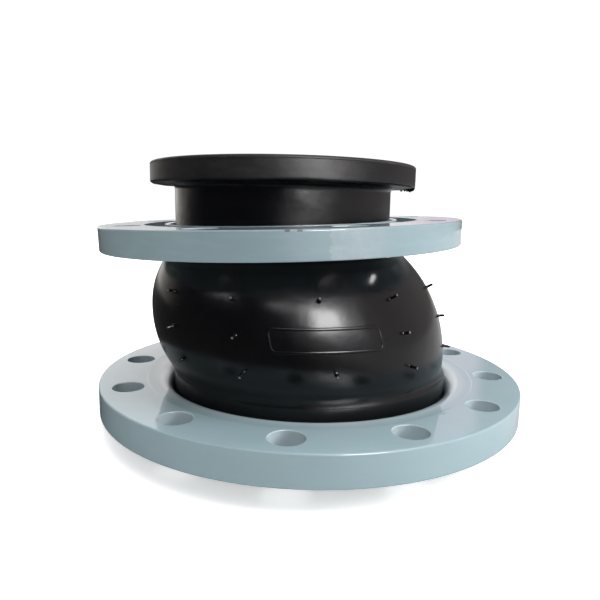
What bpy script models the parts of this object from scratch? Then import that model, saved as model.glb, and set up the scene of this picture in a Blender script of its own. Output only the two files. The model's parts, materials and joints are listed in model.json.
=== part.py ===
"""Rubber expansion joint: an eccentric reducer with a single moulded arch and two loose steel flanges.

Every length is in metres and +Z is up. The origin is the centre of the big end's sealing face. The small
end sits above it and is shifted towards -X.

The hollow rubber body is a stack of thin layers. Each layer is turned on the big end's axis and then
leaned sideways, so that every level section stays a circle while its centre drifts towards the small end.
"""

import collections
import math

import bpy
from mathutils import Matrix, Vector

# ---------- driving dimensions

FACE_TO_FACE = 0.200  # big end's sealing face to small end's sealing face
ECCENTRICITY = 0.0231  # sideways shift of the small end's axis, towards -X
WALL = 0.011  # thickness of the rubber body between its bore and its outside

End = collections.namedtuple("End", "bore neck lip")  # three radii
BIG = End(bore=0.0977, neck=0.1087, lip=0.130)
SMALL = End(bore=0.073, neck=0.084, lip=0.1021)

LIP_THICKNESS = 0.0155
LIP_FILLET = 0.004  # between the back of a lip and its neck
MOUTH_ROUND = 0.008  # between a sealing face and the bore

ARCH_RADIUS = 0.0819  # section of the arch's outside
ARCH_CENTRE = (0.0325, 0.0772)  # distance of that section's centre from the axis, and its height
SHOULDER_FILLET = 0.0136  # between the arch and the small neck
LEAN_FROM = 0.042  # height where the sideways lean starts
LEAN_TO = 0.1488  # height where it ends
LEAN_EASE = 0.8  # power of the lean: below one, it is steepest near the big end

# Layers of the wall, from the bore outwards, with a gap between each pair of neighbours
LINER = 0.0022
CORD_PLY = 0.0008
COVER = 0.0024
GAP = 0.0003
BEAD_WRAP = 0.0005  # rubberised fabric folded round a bead ring
WRAP_OPENING = 0.2  # share of a hexagon side left open on each side of the wrap's seam

Flange = collections.namedtuple(
    "Flange", "radius bore thickness bolt_circle holes first_hole_deg lip_side_chamfer groove"
)
BIG_FLANGE = Flange(0.165, 0.1097, 0.0214, 0.290, 12, -5.8, 0.004, groove=None)
SMALL_FLANGE = Flange(0.140, 0.0893, 0.0185, 0.240, 8, 22.5, 0.0012, groove=(0.0917, 0.107))
GROOVE_DEPTH = 0.0045  # of the ring-shaped groove in the small flange's lip side
BOLT_HOLE = 0.023  # diameter, for M20 bolts
ARCH_SIDE_ROUND = 0.0125  # round on the bore edge that faces the arch
FLANGE_CHAMFER = 0.0012  # on the rim
SMALL_FLANGE_PLACE = (-0.0243, 0.0042, 0.1486)  # centre of the loose upper flange, which hangs off its neck
SMALL_FLANGE_TILT = (0.94, -2.02)  # its tilt about X and about Y, in degrees

# Joint places
BEND_PIVOT = (-0.0125, 0.0, 0.0915)  # middle of the arch, which the two ends tip about

# Facets
TURNED_STEPS = 24  # round the rubber layers
FLANGE_STEPS = 48
HOLE_STEPS = 16
ARCH_STEPS = 6  # up the section of the arch

# ---------- colours: red, green, blue, roughness, metallic

COLOURS = {
    "flange_paint": (0.42, 0.52, 0.57, 0.28, 0.0),
    "cover_rubber": (0.012, 0.013, 0.016, 0.30, 0.0),
    "liner_rubber": (0.020, 0.020, 0.021, 0.55, 0.0),
    "middle_rubber": (0.030, 0.028, 0.027, 0.60, 0.0),
    "filler_rubber": (0.036, 0.033, 0.032, 0.60, 0.0),
    "nylon_cord": (0.33, 0.23, 0.13, 0.75, 0.0),
    "bead_wrap_fabric": (0.20, 0.17, 0.13, 0.80, 0.0),
    "bead_steel": (0.52, 0.43, 0.30, 0.35, 1.0),
}

# ---------- scene, collections and materials

for stale in list(bpy.data.objects):
    bpy.data.objects.remove(stale)

PARTS = bpy.data.collections.new("rubber_expansion_joint")
CUTTERS = bpy.data.collections.new("cutters")
for collection in (PARTS, CUTTERS):
    bpy.context.scene.collection.children.link(collection)


def material(name):
    """The Principled material of that name, made the first time it is asked for."""
    made = bpy.data.materials.get(name)
    if made is None:
        red, green, blue, roughness, metallic = COLOURS[name]
        made = bpy.data.materials.new(name)
        made.use_nodes = True
        shader = made.node_tree.nodes["Principled BSDF"]
        shader.inputs["Base Color"].default_value = (red, green, blue, 1.0)
        shader.inputs["Roughness"].default_value = roughness
        shader.inputs["Metallic"].default_value = metallic
    return made


# ---------- profile geometry, as (radius, height) points


def arc(centre, radius, from_deg, to_deg, steps):
    """Points on a circle about centre, both ends included."""
    points = []
    for step in range(steps + 1):
        angle = math.radians(from_deg + (to_deg - from_deg) * step / steps)
        points.append((centre[0] + radius * math.cos(angle), centre[1] + radius * math.sin(angle)))
    return points


def upside_down(points):
    """Points measured from the small end's sealing face, turned into heights above the big end's."""
    return [(r, FACE_TO_FACE - z) for r, z in reversed(points)]


def wall_curve(depth):
    """The wall from the big neck over the arch to the small neck, this deep inside its outer surface."""
    arch_r, arch_z = ARCH_CENTRE
    section = ARCH_RADIUS - depth
    crease_deg = -math.degrees(math.acos((BIG.neck - depth - arch_r) / section))
    fillet_r = SMALL.neck + SHOULDER_FILLET
    reach = ARCH_RADIUS + SHOULDER_FILLET
    fillet_z = arch_z + math.sqrt(reach**2 - (fillet_r - arch_r) ** 2)
    shoulder_deg = math.degrees(math.atan2(fillet_z - arch_z, fillet_r - arch_r))
    curve = [(BIG.neck - depth, LEAN_FROM)]
    curve += arc(ARCH_CENTRE, section, crease_deg, shoulder_deg, ARCH_STEPS)
    curve += arc((fillet_r, fillet_z), SHOULDER_FILLET + depth, shoulder_deg + 180, 180, 2)[1:]
    curve += [(SMALL.neck - depth, LEAN_TO)]
    return curve


def lip_back(end, depth, tip):
    """From a lip's tip to its neck along the side the flange bears on, heights above the sealing face."""
    centre = (end.neck + LIP_FILLET, LIP_THICKNESS + LIP_FILLET)
    return [(tip, LIP_THICKNESS - depth)] + arc(centre, LIP_FILLET + depth, 270, 180, 2)


def lip_front(end, depth, tip):
    """From a lip's tip to its bore along the sealing face, this deep inside the inner surface."""
    centre = (end.bore + MOUTH_ROUND, MOUTH_ROUND)
    return [(tip, depth)] + arc(centre, MOUTH_ROUND - depth, 270, 180, 2)


def back_curve(depth, inset):
    """The whole outer side, lip tip to lip tip, this deep inside the outer surface."""
    low = lip_back(BIG, depth, BIG.lip - inset)
    high = upside_down(lip_back(SMALL, depth, SMALL.lip - inset))
    return low + wall_curve(depth) + high


def front_curve(depth, inset):
    """The whole bore side, lip tip to lip tip, this deep inside the bore surface."""
    low = lip_front(BIG, depth, BIG.lip - inset)
    high = upside_down(lip_front(SMALL, depth, SMALL.lip - inset))
    return low + wall_curve(WALL - depth) + high


# ---------- mesh helpers


def smooth(mesh):
    mesh.shade_smooth()
    mesh.set_sharp_from_angle(angle=math.radians(30))


def turned_mesh(name, profile, steps):
    """The closed profile turned about Z with a Screw modifier, returned as a plain mesh."""
    area = sum(
        r0 * z1 - r1 * z0 for (r0, z0), (r1, z1) in zip(profile, profile[1:] + profile[:1])
    )
    if area > 0:  # a Screw faces outwards when its profile runs down on the outer side
        profile = profile[::-1]
    count = len(profile)
    outline = bpy.data.meshes.new(name + "_profile")
    outline.from_pydata(
        [(r, 0.0, z) for r, z in profile], [(i, (i + 1) % count) for i in range(count)], []
    )
    guide = bpy.data.objects.new(name + "_profile", outline)
    PARTS.objects.link(guide)
    screw = guide.modifiers.new("turn", "SCREW")
    screw.steps = steps
    screw.render_steps = steps
    screw.use_merge_vertices = False
    screw.use_normal_calculate = False
    graph = bpy.context.evaluated_depsgraph_get()
    mesh = bpy.data.meshes.new_from_object(guide.evaluated_get(graph))
    mesh.name = name
    bpy.data.objects.remove(guide)
    bpy.data.meshes.remove(outline)
    return mesh


def lean(height):
    """How far the body's centre has drifted along X at this height."""
    share = (height - LEAN_FROM) / (LEAN_TO - LEAN_FROM)
    return -ECCENTRICITY * min(1.0, max(0.0, share)) ** LEAN_EASE


def add_part(name, mesh, slot, parent=None):
    """Puts the mesh in the parts collection, with its origin on its parent's when it has one."""
    part = bpy.data.objects.new(name, mesh)
    PARTS.objects.link(part)
    mesh.materials.clear()
    mesh.materials.append(material(slot))
    smooth(mesh)
    if parent is not None:
        mesh.transform(Matrix.Translation(-parent.matrix_world.translation))
        part.parent = parent
    return part


def add_rubber_ring(name, profile, slot, parent=None):
    """A turned ring whose every level section is then moved sideways by the lean."""
    mesh = turned_mesh(name, profile, TURNED_STEPS)
    for vertex in mesh.vertices:
        vertex.co.x += lean(vertex.co.z)
    return add_part(name, mesh, slot, parent)


def add_joint_origin(name, place, parent=None):
    """An empty that marks where a moving body's joint acts, with the bodies that follow it as children."""
    empty = bpy.data.objects.new(name, None)
    empty.empty_display_size = 0.02
    empty.matrix_world = Matrix.Translation(place)
    PARTS.objects.link(empty)
    if parent is not None:
        empty.parent = parent
        empty.matrix_parent_inverse = parent.matrix_world.inverted()
    bpy.context.view_layer.update()
    return empty


# ---------- joint origins, from the fixed end up

axial_travel = add_joint_origin("axial_travel_origin", (0.0, 0.0, LEAN_FROM))
bend = add_joint_origin("bend_origin", BEND_PIVOT, axial_travel)
side_travel = add_joint_origin("side_travel_origin", (-ECCENTRICITY, 0.0, LEAN_TO), bend)

# ---------- rubber layers and cord plies

lip_tip_inset = COVER + GAP  # the cover wraps round the lips' rims, so the plies stop short of it
skin_height = LINER + GAP  # the liner's sheet on a sealing face, which the cover stops above

cover_outside = [(BIG.lip, skin_height)] + back_curve(0.0, 0.0) + upside_down([(SMALL.lip, skin_height)])
cover_inside = (
    [(BIG.lip - COVER, skin_height)]
    + back_curve(COVER, COVER)
    + upside_down([(SMALL.lip - COVER, skin_height)])
)
add_rubber_ring("outer_cover", cover_outside + cover_inside[::-1], "cover_rubber")

liner_layer = front_curve(0.0, 0.0) + front_curve(LINER, 0.0)[::-1]
add_rubber_ring("inner_liner", liner_layer, "liner_rubber")

depth = LINER + GAP
for number in (1, 2):
    layer = front_curve(depth, lip_tip_inset) + front_curve(depth + CORD_PLY, lip_tip_inset)[::-1]
    add_rubber_ring(f"cord_ply_{number}", layer, "nylon_cord", axial_travel)
    depth += CORD_PLY + GAP
front_stack = depth  # from the bore surface to the core that the plies enclose

depth = COVER + GAP
for number in (4, 3):
    layer = back_curve(depth, lip_tip_inset) + back_curve(depth + CORD_PLY, lip_tip_inset)[::-1]
    add_rubber_ring(f"cord_ply_{number}", layer, "nylon_cord", bend)
    depth += CORD_PLY + GAP
back_stack = depth  # from the outer surface to the core

# ---------- the core: middle rubber, fillers and bead rings

core_top = LIP_THICKNESS - back_stack  # height of the core's upper side inside a lip


def between(a, b, share):
    return (a[0] + (b[0] - a[0]) * share, a[1] + (b[1] - a[1]) * share)


def core_bend(end):
    """The core's outer side where it turns from the lip up into the neck: its toe, and its knee half way."""
    centre = (end.neck + LIP_FILLET, LIP_THICKNESS + LIP_FILLET)
    toe, knee = arc(centre, LIP_FILLET + back_stack, 270, 225, 1)
    return toe, knee


def middle_foot(end):
    """The foot of the middle rubber in one neck: its outer points, then its point on the bore side."""
    toe, knee = core_bend(end)
    heel = (end.neck - back_stack, LIP_THICKNESS + LIP_FILLET)
    return [knee, heel], [(end.bore + front_stack, knee[1])]


big_outside, big_inside = middle_foot(BIG)
small_outside, small_inside = middle_foot(SMALL)
middle_outside = big_outside + wall_curve(back_stack) + upside_down(small_outside)
middle_inside = big_inside + wall_curve(WALL - front_stack) + upside_down(small_inside)
add_rubber_ring("middle_rubber", middle_outside + middle_inside[::-1], "middle_rubber", bend)


def hexagon(centre, half_height):
    """Corners of a hexagon with a flat top, starting at its outermost corner."""
    corner = half_height / math.cos(math.radians(30))
    return arc(centre, corner, 0, 300, 5)


def open_hexagon(centre, half_height):
    """A hexagon opened at its innermost corner, so that a folded strip has a seam there."""
    corners = hexagon(centre, half_height)
    seam = corners[3]
    start = between(seam, corners[4], WRAP_OPENING)
    stop = between(seam, corners[2], WRAP_OPENING)
    return [start] + corners[4:] + corners[:3] + [stop]


def placed(profile, from_small_end):
    """Leaves a profile at the big end, or turns it over for the small end."""
    return upside_down(profile) if from_small_end else profile


def add_lip_core(end, label, from_small_end, follows):
    """The bead ring, its fabric wrap and the filler rubber inside one lip."""
    half_height = (core_top - front_stack) / 2
    wrap_reach = half_height / math.cos(math.radians(30))
    tip = end.lip - lip_tip_inset
    centre = (tip - wrap_reach, front_stack + half_height)
    ring = hexagon(centre, half_height - BEAD_WRAP - GAP)
    wrap = open_hexagon(centre, half_height) + open_hexagon(centre, half_height - BEAD_WRAP)[::-1]
    filler_rim = tip - 2 * wrap_reach - GAP
    mouth = (end.bore + MOUTH_ROUND, MOUTH_ROUND)
    toe, knee = core_bend(end)
    apex = between(knee, toe, GAP / (knee[1] - toe[1]))
    filler = (
        [(filler_rim, front_stack)]
        + arc(mouth, MOUTH_ROUND - front_stack, 270, 180, 2)
        + [(end.bore + front_stack, apex[1]), apex, toe]
        + [(filler_rim, core_top)]
    )
    for name, profile, slot in (
        ("bead_ring", ring, "bead_steel"),
        ("bead_wrap", wrap, "bead_wrap_fabric"),
        ("lip_filler", filler, "filler_rubber"),
    ):
        add_rubber_ring(f"{label}_{name}", placed(profile, from_small_end), slot, follows)


add_lip_core(BIG, "lower", False, None)
add_lip_core(SMALL, "upper", True, side_travel)

# ---------- loose flanges


def flange_profile(flange, arch_side):
    """Section of a plate flange about its mid height; arch_side is 1 when the arch is above it, else -1."""
    half = flange.thickness / 2
    edge = FLANGE_CHAMFER
    section = [
        (flange.radius - edge, half),
        (flange.radius, half - edge),
        (flange.radius, edge - half),
        (flange.radius - edge, -half),
    ]
    if flange.groove is not None:
        inner, outer = flange.groove
        floor = GROOVE_DEPTH - half
        section += [(outer, -half), (outer, floor), (inner, floor), (inner, -half)]
    lead = flange.lip_side_chamfer
    section += [(flange.bore + lead, -half), (flange.bore, lead - half)]
    round_centre = (flange.bore + ARCH_SIDE_ROUND, half - ARCH_SIDE_ROUND)
    section += arc(round_centre, ARCH_SIDE_ROUND, 180, 90, 3)
    return [(r, z * arch_side) for r, z in section]


def add_flange(name, flange, arch_side, place, tilt_deg):
    """A turned plate with its bolt holes cut, its origin at its own centre."""
    mesh = turned_mesh(name, flange_profile(flange, arch_side), FLANGE_STEPS)
    plate = add_part(name, mesh, "flange_paint")
    plate.location = place
    plate.rotation_euler = [math.radians(angle) for angle in tilt_deg] + [0.0]
    bpy.context.view_layer.update()
    for number in range(flange.holes):
        angle = math.radians(flange.first_hole_deg + 360 / flange.holes * number)
        spot = Vector((math.cos(angle), math.sin(angle), 0)) * flange.bolt_circle / 2
        bpy.ops.mesh.primitive_cylinder_add(
            vertices=HOLE_STEPS, radius=BOLT_HOLE / 2, depth=2 * flange.thickness
        )
        drill = bpy.context.object
        drill.name = f"{name}_drill_{number + 1}"
        drill.matrix_world = plate.matrix_world @ Matrix.Translation(spot)
        drill.hide_render = True
        drill.display_type = "WIRE"
        for home in list(drill.users_collection):
            home.objects.unlink(drill)
        CUTTERS.objects.link(drill)
        cut = plate.modifiers.new(f"hole_{number + 1}", "BOOLEAN")
        cut.operation = "DIFFERENCE"
        cut.object = drill
    return plate


flange_rest = LIP_THICKNESS + GAP + BIG_FLANGE.thickness / 2
add_flange("lower_flange", BIG_FLANGE, 1, (0.0, 0.0, flange_rest), (0.0, 0.0))
upper_flange = add_flange("upper_flange", SMALL_FLANGE, -1, SMALL_FLANGE_PLACE, SMALL_FLANGE_TILT)
upper_flange.parent = side_travel
upper_flange.matrix_parent_inverse = side_travel.matrix_world.inverted()
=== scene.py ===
"""Looks for the rubber expansion joint: fine meshes, procedural materials, studio light and the camera.

The rubber wall is rebuilt layer by layer as smooth rings. Each layer is cut at two heights into three
zones, each listed with the two bodies of one joint: axial travel in the lowest zone, tipping in
the middle one and side travel in the top one. Lengths are in metres and +Z is up, as in the frame.
"""

import collections
import itertools
import json
import math
import random

import bpy
import numpy as np
from mathutils import Matrix, Quaternion, Vector

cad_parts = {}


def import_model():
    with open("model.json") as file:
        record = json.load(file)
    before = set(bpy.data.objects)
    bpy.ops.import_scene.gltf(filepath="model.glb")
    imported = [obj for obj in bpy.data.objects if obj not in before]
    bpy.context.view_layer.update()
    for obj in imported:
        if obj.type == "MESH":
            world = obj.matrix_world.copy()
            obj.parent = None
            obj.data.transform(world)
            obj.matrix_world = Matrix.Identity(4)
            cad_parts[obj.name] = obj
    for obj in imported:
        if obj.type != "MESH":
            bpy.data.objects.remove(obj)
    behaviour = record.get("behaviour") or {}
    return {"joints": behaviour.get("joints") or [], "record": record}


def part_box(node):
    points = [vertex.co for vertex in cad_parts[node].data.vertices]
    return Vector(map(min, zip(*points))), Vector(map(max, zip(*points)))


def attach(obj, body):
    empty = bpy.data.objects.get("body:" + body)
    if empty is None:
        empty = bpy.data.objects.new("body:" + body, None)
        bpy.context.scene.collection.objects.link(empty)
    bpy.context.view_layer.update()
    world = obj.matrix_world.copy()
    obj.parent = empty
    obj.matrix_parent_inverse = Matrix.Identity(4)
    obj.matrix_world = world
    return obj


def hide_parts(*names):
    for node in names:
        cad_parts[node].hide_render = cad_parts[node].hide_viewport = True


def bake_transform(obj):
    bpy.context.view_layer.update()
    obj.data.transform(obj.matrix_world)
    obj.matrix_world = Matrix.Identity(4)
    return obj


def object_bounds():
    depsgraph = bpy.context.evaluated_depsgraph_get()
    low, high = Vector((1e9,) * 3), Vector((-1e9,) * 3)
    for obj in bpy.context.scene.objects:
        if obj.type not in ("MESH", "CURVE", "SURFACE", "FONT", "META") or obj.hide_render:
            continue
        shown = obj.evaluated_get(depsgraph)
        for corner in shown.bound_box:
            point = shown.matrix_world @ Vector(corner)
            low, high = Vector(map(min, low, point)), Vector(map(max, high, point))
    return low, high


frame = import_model()
cad_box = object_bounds()
record = frame["record"]
joints = {joint["name"]: joint for joint in frame["joints"]}
mounts = {mount["name"]: mount for mount in record["mounts"]}

# ---------------------------------------------------------------- sizes of the rubber body

liner_low, liner_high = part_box("inner_liner")
upper_wrap_low, upper_wrap_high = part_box("upper_bead_wrap")

LINER = 0.0022
CORD_PLY = 0.0008
COVER = 0.0024
GAP = 0.0003
BEAD_WRAP = 0.0005
WRAP_OPENING = 0.2
WALL = 0.011
TIP_INSET = COVER + GAP  # the plies stop this far inside a lip's rim

FACE_TO_FACE = liner_high.z
ECCENTRICITY = -(upper_wrap_low.x + upper_wrap_high.x) / 2

End = collections.namedtuple("End", "bore neck lip")
BIG = End(0.0977, 0.1087, liner_high.y)
SMALL = End(0.073, 0.084, upper_wrap_high.y + TIP_INSET)

LIP_THICKNESS = 0.0155
LIP_FILLET = 0.004
MOUTH_ROUND = 0.008
BACK_ROUND = 0.0015  # on a lip's rim, on the side the flange bears on
FACE_ROUND = 0.0018  # on a lip's rim, at the sealing face

RIM_SEAM = 0.00006  # visible gap between liner and cover on a lip's rim

BEAD_REACH = 0.1091  # radius of the soft bead between the big neck and the arch
BEAD_FOOT = 0.030
BEAD_TOP = 0.0405  # height where the bead starts to round off
BEAD_ROUND = 0.004
BEAD_FILLET = 0.012  # between the bead and the arch

ARCH_RADIUS = 0.0819
ARCH_CENTRE = (0.0325, 0.0772)
SHOULDER_FILLET = 0.0136
LEAN_FROM = 0.042
LEAN_TO = 0.1488
LEAN_EASE = 0.8  # power of the lean: below one, it is steepest near the big end


def zone_of(joint_name):
    """The heights between which the wall bends for that joint."""
    entry = joints[joint_name]["deforming_nodes"][0]
    return entry["from_z_m"], entry["to_z_m"]


AXIAL_ZONE = zone_of("axial_travel")
BEND_ZONE = zone_of("angular_bend")
SIDE_ZONE = zone_of("side_travel")

# ---------------------------------------------------------------- sizes of details

FINE = 0.0014  # longest step along a visible profile
COARSE = 0.004  # the same for a hidden layer
FINE_TURN = 240  # facets round a visible ring
COARSE_TURN = 96

VENT_HEIGHTS = (0.0645, 0.0878, 0.1103)  # rows of vent spews on the arch
VENTS_PER_HALF = 6  # in each row of each half of the mould
FIRST_VENT_DEG = -50.8
VENT_PITCH_DEG = 28.7
VENT_RADIUS = 0.0010
TRIMMED_DEG = 25  # no spews are left closer than this to the side of the offset
TIP_VERTICES = 10  # round a spew, so also on its cut end

PLATE_DEG = (-98.0, -60.5)  # azimuths of the blank moulded plate's ends
PLATE_HEIGHT = 0.0146
PLATE_MIDDLE = 0.0867
PLATE_CORNER = 0.0035
PLATE_RIM = (0.0011, 0.0005)  # half width and height of its raised rim

# ---------------------------------------------------------------- profiles, as (radius, height) points


def arc(centre, radius, from_deg, to_deg, step):
    """Points on a circle about centre, both ends included, no further apart than step."""
    turn = math.radians(to_deg - from_deg)
    count = max(3, math.ceil(abs(turn) * radius / step))
    points = []
    for i in range(count + 1):
        angle = math.radians(from_deg) + turn * i / count
        points.append((centre[0] + radius * math.cos(angle), centre[1] + radius * math.sin(angle)))
    return points


def upside_down(points):
    """Points measured from the small end's sealing face, turned into heights above the big end's."""
    return [(r, FACE_TO_FACE - z) for r, z in reversed(points)]


def filled(points, step):
    """The same path with its long straight runs divided."""
    path = [points[0]]
    for (r0, z0), (r1, z1) in zip(points, points[1:]):
        count = max(1, math.ceil(math.hypot(r1 - r0, z1 - z0) / step))
        path += [(r0 + (r1 - r0) * i / count, z0 + (z1 - z0) * i / count) for i in range(1, count + 1)]
    return path


def wall_curve(depth, step, first_deg=None):
    """The wall from the big neck over the arch to the small neck, this deep inside its outer surface."""
    arch_r, arch_z = ARCH_CENTRE
    section = ARCH_RADIUS - depth
    if first_deg is None:
        first_deg = -math.degrees(math.acos((BIG.neck - depth - arch_r) / section))
    fillet_r = SMALL.neck + SHOULDER_FILLET
    reach = ARCH_RADIUS + SHOULDER_FILLET
    fillet_z = arch_z + math.sqrt(reach**2 - (fillet_r - arch_r) ** 2)
    shoulder_deg = math.degrees(math.atan2(fillet_z - arch_z, fillet_r - arch_r))
    curve = [(BIG.neck - depth, LEAN_FROM)]
    curve += arc(ARCH_CENTRE, section, first_deg, shoulder_deg, step)
    curve += arc((fillet_r, fillet_z), SHOULDER_FILLET + depth, shoulder_deg + 180, 180, step)[1:]
    curve += [(SMALL.neck - depth, LEAN_TO)]
    return curve


def lip_back(end, depth, tip, step):
    """From a lip's tip to its neck along the side the flange bears on."""
    centre = (end.neck + LIP_FILLET, LIP_THICKNESS + LIP_FILLET)
    return [(tip, LIP_THICKNESS - depth)] + arc(centre, LIP_FILLET + depth, 270, 180, step)


def lip_front(end, depth, tip, step):
    """From a lip's tip to its bore along the sealing face, this deep inside the inner surface."""
    centre = (end.bore + MOUTH_ROUND, MOUTH_ROUND)
    return [(tip, depth)] + arc(centre, MOUTH_ROUND - depth, 270, 180, step)


def whole_curve(low, depth, high, step):
    return filled(low + wall_curve(depth, step) + upside_down(high), step)


def meeting(first, first_reach, second, second_reach):
    """The outer one of the two points this far from two centres."""
    out, up = second[0] - first[0], second[1] - first[1]
    gap = math.hypot(out, up)
    along = (gap**2 + first_reach**2 - second_reach**2) / (2 * gap)
    aside = math.sqrt(first_reach**2 - along**2)
    return (first[0] + (along * out - aside * up) / gap, first[1] + (along * up + aside * out) / gap)


def cover_curve(step):
    """The cover's outside between the lips: the wall, with a soft bead round the neck below the arch."""
    bead = (BEAD_REACH - BEAD_ROUND, BEAD_TOP)
    fillet = meeting(ARCH_CENTRE, ARCH_RADIUS + BEAD_FILLET, bead, BEAD_ROUND + BEAD_FILLET)
    bead_deg = math.degrees(math.atan2(fillet[1] - bead[1], fillet[0] - bead[0]))
    arch_deg = math.degrees(math.atan2(fillet[1] - ARCH_CENTRE[1], fillet[0] - ARCH_CENTRE[0]))
    curve = [(BEAD_REACH, BEAD_FOOT)] + arc(bead, BEAD_ROUND, 0, bead_deg, step / 2)
    curve += arc(fillet, BEAD_FILLET, bead_deg + 180, arch_deg + 180, step / 2)[1:-1]
    return curve + wall_curve(0.0, step, arch_deg)[1:]


def back_curve(depth, inset, step):
    """The whole outer side, lip tip to lip tip, this deep inside the outer surface."""
    low = lip_back(BIG, depth, BIG.lip - inset, step)
    high = lip_back(SMALL, depth, SMALL.lip - inset, step)
    return whole_curve(low, depth, high, step)


def front_curve(depth, inset, step):
    """The whole bore side, lip tip to lip tip, this deep inside the bore surface."""
    low = lip_front(BIG, depth, BIG.lip - inset, step)
    high = lip_front(SMALL, depth, SMALL.lip - inset, step)
    return whole_curve(low, WALL - depth, high, step)


def cover_rim(end, step):
    """The cover's outside at one lip, from the seam with the liner round the rim to the neck."""
    seam = LINER + RIM_SEAM
    nick = 0.00012
    corner = (end.lip - BACK_ROUND, LIP_THICKNESS - BACK_ROUND)
    rim = [(end.lip - nick, seam), (end.lip, seam + nick)] + arc(corner, BACK_ROUND, 0, 90, step / 3)
    return rim + lip_back(end, 0.0, corner[0], step)[1:]


def cover_lining(end, step):
    """The cover's inside at one lip, from the seam to the neck."""
    return [(end.lip - COVER, LINER + GAP)] + lip_back(end, COVER, end.lip - COVER, step)


def liner_rim(end, step):
    """The liner's sealing face with its rounded rim, from the seam inwards to the bore."""
    corner = (end.lip - FACE_ROUND, FACE_ROUND)
    rim = [(end.lip - 0.00012, LINER)] + arc(corner, FACE_ROUND, 0, -90, step / 3)
    return rim + lip_front(end, 0.0, corner[0], step)[1:]


# ---------------------------------------------------------------- meshes


def lean(height):
    """How far the body's centre has drifted along X at this height."""
    share = np.clip((height - LEAN_FROM) / (LEAN_TO - LEAN_FROM), 0.0, 1.0)
    return -ECCENTRICITY * share**LEAN_EASE


def add_piece(name, vertices, faces, material, marks=None, sharp_deg=35):
    """A smooth-shaded mesh object that remembers each vertex's rest position and mark for its textures."""
    mesh = bpy.data.meshes.new(name)
    mesh.from_pydata(vertices, [], faces)
    mesh.materials.append(material)
    place = mesh.attributes.new("place", "FLOAT_VECTOR", "POINT")
    place.data.foreach_set("vector", np.asarray(vertices, np.float32).ravel())
    if marks is not None:
        mesh.attributes.new("mark", "FLOAT", "POINT").data.foreach_set("value", marks)
    mesh.shade_smooth()
    mesh.set_sharp_from_angle(angle=math.radians(sharp_deg))
    piece = bpy.data.objects.new(name, mesh)
    bpy.context.scene.collection.objects.link(piece)
    return piece


def turned(profile, steps):
    """Vertices and faces of a ring turned from a closed profile that runs up its outer side."""
    path = np.array(profile)
    angles = np.arange(steps) * 2 * math.pi / steps
    x = np.outer(np.cos(angles), path[:, 0])
    y = np.outer(np.sin(angles), path[:, 0])
    z = np.broadcast_to(path[:, 1], x.shape)
    vertices = np.stack([x, y, z], -1).reshape(-1, 3)
    count = len(profile)
    faces = []
    for i in range(steps):
        here, after = i * count, (i + 1) % steps * count
        for j in range(count):
            k = (j + 1) % count
            faces.append((here + j, after + j, after + k, here + k))
    return vertices, faces


def joined(parts):
    """One list of vertices and one of faces from several."""
    vertices, faces, shift = [], [], 0
    for part_vertices, part_faces in parts:
        vertices.append(np.asarray(part_vertices, float))
        faces += [tuple(i + shift for i in face) for face in part_faces]
        shift += len(part_vertices)
    return np.concatenate(vertices), faces


def marked_ends(parts, tipped, count):
    """A mark of one on the last vertices of each of the last few parts, and nought elsewhere."""
    marks = []
    for number, (vertices, _) in enumerate(parts):
        ends = count if number >= len(parts) - tipped else 0
        marks += [0.0] * (len(vertices) - ends) + [1.0] * ends
    return marks


def hand_made(vertices):
    """Small unevenness of moulded rubber: a slow ripple of the wall and wavier rims on the lips."""
    x, y, z = vertices[:, 0] - lean(vertices[:, 2]), vertices[:, 1], vertices[:, 2]
    radius, turn = np.hypot(x, y), np.arctan2(y, x)
    ripple = np.sin(3 * turn + 60 * z) + 0.6 * np.sin(7 * turn - 95 * z + 1.3)
    ripple += 0.35 * np.sin(16 * turn + 210 * z + 0.4)
    push = 0.00013 * ripple * np.clip((z - 0.02) / 0.02, 0, 1) * np.clip((0.19 - z) / 0.01, 0, 1)
    wave = np.sin(4 * turn + 0.7) + 0.7 * np.sin(9 * turn + 2.0) + 0.5 * np.sin(21 * turn)
    back_of_lip = np.clip(1 - np.abs(FACE_TO_FACE - LIP_THICKNESS - z) / 0.006, 0, 1)
    outwards = np.clip((radius - SMALL.neck - 0.006) / 0.008, 0, 1) * (z > 0.18)
    moved = vertices.copy()
    moved[:, 0] += push * np.cos(turn)
    moved[:, 1] += push * np.sin(turn)
    moved[:, 2] += 0.00022 * wave * back_of_lip * outwards
    return moved


def leaned(vertices):
    moved = vertices.copy()
    moved[:, 0] += lean(moved[:, 2])
    return moved


def cut(curve, low, high):
    """The stretch of a profile between two heights, with new end points on the cuts."""
    kept = []
    for (r0, z0), (r1, z1) in zip(curve, curve[1:]):
        if not kept and low <= z0 <= high:
            kept.append((r0, z0))
        for height in (low, high):
            if min(z0, z1) < height < max(z0, z1):
                share = (height - z0) / (z1 - z0)
                kept.append((r0 + (r1 - r0) * share, height))
        if low <= z1 <= high:
            kept.append((r1, z1))
    return kept


ZONES = (
    ("lower", -1.0, AXIAL_ZONE[1], "lower_end", "arch_lower", AXIAL_ZONE),
    ("middle", AXIAL_ZONE[1], BEND_ZONE[1], "arch_lower", "arch_upper", BEND_ZONE),
    ("upper", BEND_ZONE[1], 1.0, "arch_upper", "upper_end", SIDE_ZONE),
)


def add_layer(name, node, outside, inside, steps, material, extras=None):
    """One layer of the wall as three zone pieces, cut at the zones' heights; extras adds plain and tipped
    shapes.
    """
    for zone, low, high, below, above, (start, end) in ZONES:
        profile = cut(outside, low, high) + cut(inside, low, high)[::-1]
        vertices, faces = turned(profile, steps)
        plain, tipped = (extras or {}).get(zone, ([], []))
        parts = [(leaned(vertices), faces)] + plain + tipped
        marks = marked_ends(parts, len(tipped), TIP_VERTICES)
        vertices, faces = joined(parts)
        piece = add_piece(f"{name}_{zone}", hand_made(vertices), faces, material, marks)
        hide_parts(node)
        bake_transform(piece)


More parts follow.
